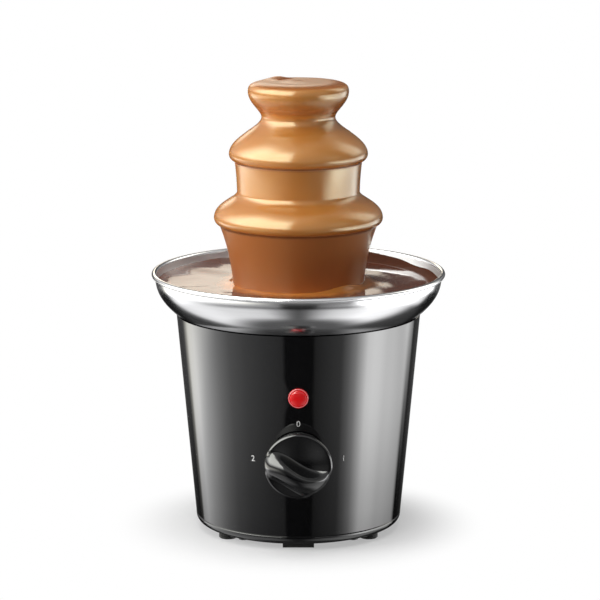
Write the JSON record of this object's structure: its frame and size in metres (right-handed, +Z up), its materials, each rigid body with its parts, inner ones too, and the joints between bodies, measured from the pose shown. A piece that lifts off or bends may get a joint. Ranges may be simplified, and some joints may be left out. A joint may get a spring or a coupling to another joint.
{
  "type": "chocolate fountain",
  "caption": "Table-top chocolate fountain: a heated steel bowl on a tapered black housing with a knob and lamp, and a screw tower with tiers that the chocolate falls over.",
  "frame": {"origin": "on the table under the tower's axis, at the middle of the feet", "axes": "+Z up along the tower's axis, the knob and lamp face -Y"},
  "size_m": [0.184, 0.184, 0.2848],
  "materials": {
    "housing_black": "gloss",
    "rubber_black": "matte",
    "seal_silicone": "matte",
    "bowl_steel": "satin, spun",
    "tower_steel": "satin, spun",
    "fastener_steel": "bright zinc",
    "shaft_steel": "ground",
    "sheet_steel": "zinc plated sheet",
    "heater_aluminium": "cast",
    "element_sheath": "heat tinted",
    "ceramic_cream": "fired, matte",
    "bush_bronze": "sintered",
    "gear_nylon": "moulded nylon",
    "case_plastic": "moulded",
    "dark_plastic": "moulded",
    "rotor_copper": "wound copper",
    "lens_red": "clear red, lit",
    "neon_glass": "clear",
    "milk_chocolate": "wet gloss",
    "dark_chocolate": "wet gloss"
  },
  "bodies": {
    "base": {"body_shell": "housing_black", "base_cover": "housing_black", "round_feet": "rubber_black", "end_feet": "rubber_black", "cord_grommet": "rubber_black", "bowl_gasket": "rubber_black", "shaft_seal": "seal_silicone", "bowl": "bowl_steel", "cover_screws": "fastener_steel", "tower_studs": "fastener_steel", "stud_nuts": "fastener_steel", "clamp_spacers": "fastener_steel", "clamp_screws": "fastener_steel", "bracket_screws": "fastener_steel", "case_screws": "fastener_steel", "motor_screws": "fastener_steel", "switch_nut": "fastener_steel", "idler_pin": "shaft_steel", "bracket": "sheet_steel", "motor_can": "sheet_steel", "heater_plate": "heater_aluminium", "heater_element": "element_sheath", "thermostat": "ceramic_cream", "thermal_fuse": "ceramic_cream", "upper_bush": "bush_bronze", "lower_bush": "bush_bronze", "switch_terminals": "bush_bronze", "gear_case": "case_plastic", "lamp_holder": "case_plastic", "terminal_block": "case_plastic", "motor_cap": "dark_plastic", "switch_body": "dark_plastic", "lamp_lens": "lens_red", "neon_lamp": "neon_glass", "chocolate_pool": "dark_chocolate"},
    "drive": {"drive_gear": "gear_nylon", "drive_shaft": "shaft_steel"},
    "auger": {"auger": "gear_nylon", "chocolate_swirl": "milk_chocolate"},
    "idler": {"idler_gear": "gear_nylon"},
    "rotor": {"motor_rotor": "rotor_copper", "motor_pinion": "bush_bronze"},
    "tower": {"tower_tube": "tower_steel", "lower_canopy": "tower_steel", "upper_canopy": "tower_steel", "crown": "tower_steel", "chocolate_flow": "milk_chocolate"},
    "knob": {"knob": "housing_black", "switch_shaft": "shaft_steel"}
  },
  "joints": [
    {"name": "drive_spin", "type": "hinge", "parent": "base", "child": "drive", "pos_m": [0, 0, 0.1], "axis": [0, 0, 1], "continuous": true},
    {"name": "auger_lift", "type": "slide", "parent": "drive", "child": "auger", "axis": [0, 0, 1], "range_m": [0, 0.165]},
    {"name": "tower_lift", "type": "slide", "parent": "base", "child": "tower", "axis": [0, 0, 1], "range_m": [0, 0.17]},
    {"name": "knob_turn", "type": "hinge", "parent": "base", "child": "knob", "pos_m": [0, -0.06943, 0.0588], "axis": [0, 0.9959, 0.0906], "range_deg": [0, 180]},
    {"name": "idler_spin", "type": "hinge", "parent": "base", "child": "idler", "pos_m": [0, 0.0273, 0.09], "axis": [0, 0, 1], "continuous": true},
    {"name": "rotor_spin", "type": "hinge", "parent": "base", "child": "rotor", "pos_m": [-0.02265, 0.03554, 0.06], "axis": [0, 0, 1], "continuous": true}
  ],
  "couplings": [
    {"joint": "idler_spin", "follows": "drive_spin", "ratio": -3.8571},
    {"joint": "rotor_spin", "follows": "drive_spin", "ratio": 15.429}
  ]
}
